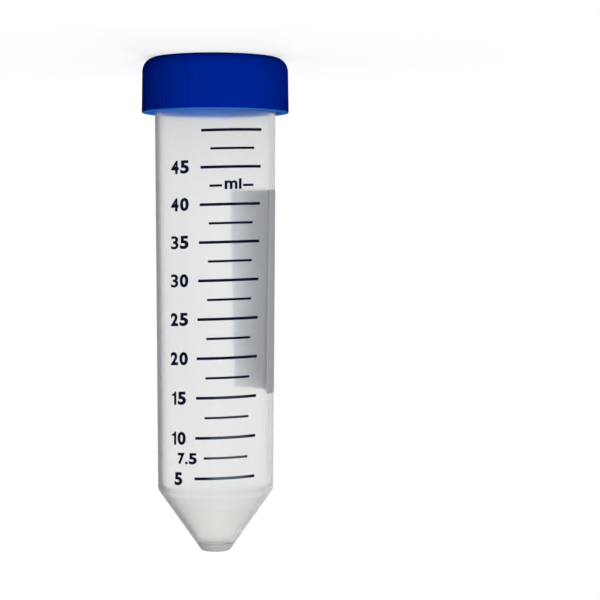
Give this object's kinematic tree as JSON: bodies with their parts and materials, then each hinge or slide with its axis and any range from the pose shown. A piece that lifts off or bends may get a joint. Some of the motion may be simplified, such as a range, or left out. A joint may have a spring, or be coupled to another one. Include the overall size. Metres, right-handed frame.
{
  "type": "conical tube",
  "caption": "Translucent conical-bottom lab tube with printed graduations and a writing panel, standing upside down on its ribbed blue screw cap.",
  "frame": {"origin": "centre of the cap's flat top, which the object stands on upside down", "axes": "+Z along the tube's axis from the cap to the conical tip; the printed scale faces -Y"},
  "size_m": [0.0352, 0.0352, 0.1183],
  "materials": {
    "tube": "natural translucent polypropylene, satin",
    "cap": "dark blue polyethylene, satin",
    "writing_panel": "pale grey matt ink",
    "ink": "dark blue printed ink"
  },
  "bodies": {
    "cap": {"cap": "cap"},
    "tube": {"tube": "tube", "writing_panel": "writing_panel", "graduation_marks": "ink"}
  },
  "joints": [
    {"name": "tube_lift", "type": "slide", "parent": "cap", "child": "tube", "axis": [0, 0, 1], "range_m": [0, 0.025]}
  ]
}
